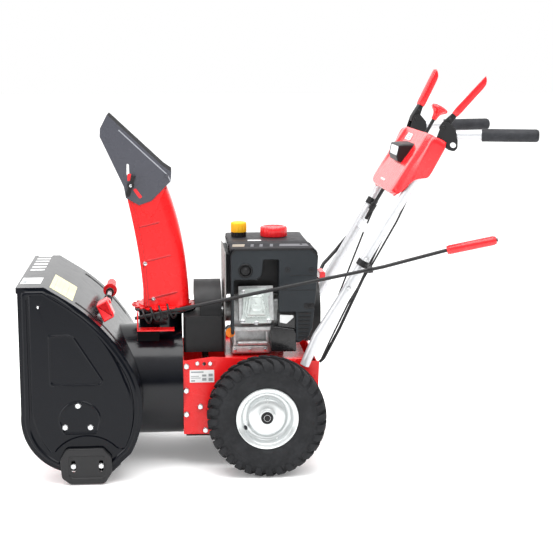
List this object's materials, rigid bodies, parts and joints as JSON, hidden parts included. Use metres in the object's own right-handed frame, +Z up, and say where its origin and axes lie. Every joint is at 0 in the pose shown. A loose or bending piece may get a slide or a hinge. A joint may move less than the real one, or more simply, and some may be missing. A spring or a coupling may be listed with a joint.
{
  "type": "two stage snowblower",
  "caption": "Walk-behind two stage snow thrower with open auger housing, turning chute with tilting hood, engine, wheels, handlebars and hand controls.",
  "frame": {"origin": "on the ground under the middle of the whole machine", "axes": "-X is the way it drives and throws, -Y is its left side, +Z is up"},
  "size_m": [1.4076, 0.599, 1.1094],
  "materials": {
    "housing_paint": "satin black paint",
    "red_paint": "gloss red paint",
    "black_steel": "satin black powder coat",
    "zinc_steel": "bright zinc plate",
    "bar_paint": "silver powder coat",
    "rim_paint": "silver grey paint",
    "tyre_rubber": "moulded tread rubber",
    "grip_rubber": "soft moulded rubber",
    "cast_alloy": "bead-blasted casting",
    "gear_bronze": "machined",
    "cover_plastic": "fine moulded texture",
    "black_plastic": "moulded black",
    "hood_plastic": "gloss black moulding",
    "red_plastic": "moulded red",
    "yellow_plastic": "moulded yellow",
    "orange_plastic": "moulded orange",
    "belt_rubber": "ribbed belt",
    "lamp_lens": "frosted clear lens",
    "exhaust_steel": "heat dulled steel"
  },
  "bodies": {
    "machine": {"auger_housing": "housing_paint", "belt_cover": "black_plastic", "bottom_cover": "black_steel", "bushes": "black_plastic", "carburettor": "black_plastic", "control_cables": "black_steel", "crank_eyelet": "black_steel", "crankcase": "cast_alloy", "crossbar": "bar_paint", "cylinder": "cast_alloy", "dash_panel": "red_plastic", "drive_belt": "belt_rubber", "drive_frame": "red_paint", "engine_shroud": "black_plastic", "fasteners": "zinc_steel", "fuel_tank": "black_plastic", "gearbox_case": "cast_alloy", "grips": "grip_rubber", "handlebars": "bar_paint", "headlight_bezel": "black_plastic", "headlight_lens": "lamp_lens", "impeller_drum": "housing_paint", "lever_brackets": "black_steel", "muffler": "exhaust_steel", "muffler_guard": "exhaust_steel", "scraper_bar": "black_steel", "side_cover": "cover_plastic", "side_plates": "housing_paint", "spark_plug": "black_plastic", "valve_cover": "cast_alloy", "worm_bracket": "red_paint"},
    "wheels": {"axle": "zinc_steel", "tyres": "tyre_rubber", "rims": "rim_paint"},
    "auger": {"auger_shaft": "zinc_steel", "auger_left": "red_paint", "auger_right": "red_paint", "worm_wheel": "gear_bronze"},
    "impeller": {"impeller": "red_paint", "impeller_shaft": "zinc_steel", "impeller_pulley": "zinc_steel"},
    "engine_shaft": {"crankshaft": "zinc_steel"},
    "crank": {"crank_rod": "black_steel", "crank_grip": "red_plastic"},
    "chute": {"chute": "red_paint", "chute_ring": "red_paint"},
    "hood": {"deflector": "hood_plastic"},
    "hood_clamps": {"wing_knobs": "black_plastic"},
    "left_lever": {"lever_left": "red_plastic"},
    "right_lever": {"lever_right": "red_plastic"},
    "shift": {"shift_lever": "black_steel", "shift_knob": "red_plastic"},
    "fuel_filler": {"fuel_cap": "red_plastic"},
    "oil_filler": {"oil_cap": "yellow_plastic"},
    "oil_dipstick": {"dipstick": "orange_plastic"},
    "primer": {"primer_bulb": "black_plastic"},
    "starter": {"starter_handle": "red_plastic"},
    "tool": {"clean_out_tool": "red_plastic"},
    "left_skid": {"skid_left": "black_steel"},
    "right_skid": {"skid_right": "black_steel"}
  },
  "joints": [
    {"name": "wheels_roll", "type": "hinge", "parent": "machine", "child": "wheels", "pos_m": [-0.03, 0, 0.166], "axis": [0, 1, 0], "continuous": true},
    {"name": "crankshaft_spin", "type": "hinge", "parent": "machine", "child": "engine_shaft", "pos_m": [-0.03, 0, 0.42], "axis": [1, 0, 0], "continuous": true},
    {"name": "impeller_spin", "type": "hinge", "parent": "machine", "child": "impeller", "pos_m": [-0.03, 0, 0.225], "axis": [1, 0, 0], "continuous": true},
    {"name": "auger_spin", "type": "hinge", "parent": "machine", "child": "auger", "pos_m": [-0.546, 0, 0.18], "axis": [0, 1, 0], "continuous": true},
    {"name": "crank_turn", "type": "hinge", "parent": "machine", "child": "crank", "pos_m": [-0.373, -0.106, 0.427], "axis": [0.9611, -0.166, 0.2208], "range_deg": [-2280, 2280]},
    {"name": "chute_turn", "type": "hinge", "parent": "machine", "child": "chute", "pos_m": [-0.307, 0, 0.443], "axis": [0, 0, 1], "range_deg": [-95, 95]},
    {"name": "hood_tilt", "type": "hinge", "parent": "chute", "child": "hood", "pos_m": [-0.298, 0, 0.822], "axis": [0, 1, 0], "range_deg": [-28, 18]},
    {"name": "hood_clamp_turn", "type": "hinge", "parent": "hood", "child": "hood_clamps", "pos_m": [-0.398, 0, 0.795], "axis": [0, 1, 0], "range_deg": [0, 90]},
    {"name": "left_lever_squeeze", "type": "hinge", "parent": "machine", "child": "left_lever", "pos_m": [0.454, -0.2178, 0.963], "axis": [0.2538, 0.9673, 0], "range_deg": [0, 38], "stiffness_Nm_per_rad": 0.8, "springref_deg": -28.65},
    {"name": "right_lever_squeeze", "type": "hinge", "parent": "machine", "child": "right_lever", "pos_m": [0.454, 0.2178, 0.963], "axis": [-0.2538, 0.9673, 0], "range_deg": [0, 50], "stiffness_Nm_per_rad": 0.8, "springref_deg": -28.65},
    {"name": "speed_select", "type": "hinge", "parent": "machine", "child": "shift", "pos_m": [0.41, 0, 0.875], "axis": [0, 1, 0], "range_deg": [-14, 14]},
    {"name": "fuel_cap_turn", "type": "hinge", "parent": "machine", "child": "fuel_filler", "pos_m": [0.008, 0, 0.646], "axis": [0, 0, 1], "range_deg": [0, 120]},
    {"name": "oil_cap_turn", "type": "hinge", "parent": "machine", "child": "oil_filler", "pos_m": [-0.093, 0, 0.646], "axis": [0, 0, 1], "range_deg": [0, 120]},
    {"name": "dipstick_turn", "type": "hinge", "parent": "machine", "child": "oil_dipstick", "pos_m": [-0.124, -0.102, 0.378], "axis": [0, 1, 0], "range_deg": [0, 180]},
    {"name": "primer_press", "type": "slide", "parent": "machine", "child": "primer", "axis": [0, 1, 0], "range_m": [0, 0.004], "stiffness_N_per_m": 400, "springref_m": -0.004},
    {"name": "starter_pull", "type": "slide", "parent": "machine", "child": "starter", "axis": [1, 0, 0], "range_m": [0, 0.4], "stiffness_N_per_m": 25, "springref_m": -0.2},
    {"name": "tool_lift", "type": "slide", "parent": "machine", "child": "tool", "axis": [-0.7071, 0, 0.7071], "range_m": [0, 0.06]},
    {"name": "left_skid_height", "type": "slide", "parent": "machine", "child": "left_skid", "axis": [0, 0, 1], "range_m": [-0.012, 0.012]},
    {"name": "right_skid_height", "type": "slide", "parent": "machine", "child": "right_skid", "axis": [0, 0, 1], "range_m": [-0.012, 0.012]}
  ],
  "couplings": [
    {"joint": "impeller_spin", "follows": "crankshaft_spin", "ratio": 0.41304},
    {"joint": "auger_spin", "follows": "crankshaft_spin", "ratio": 0.041304},
    {"joint": "chute_turn", "follows": "crank_turn", "ratio": -0.041667}
  ]
}
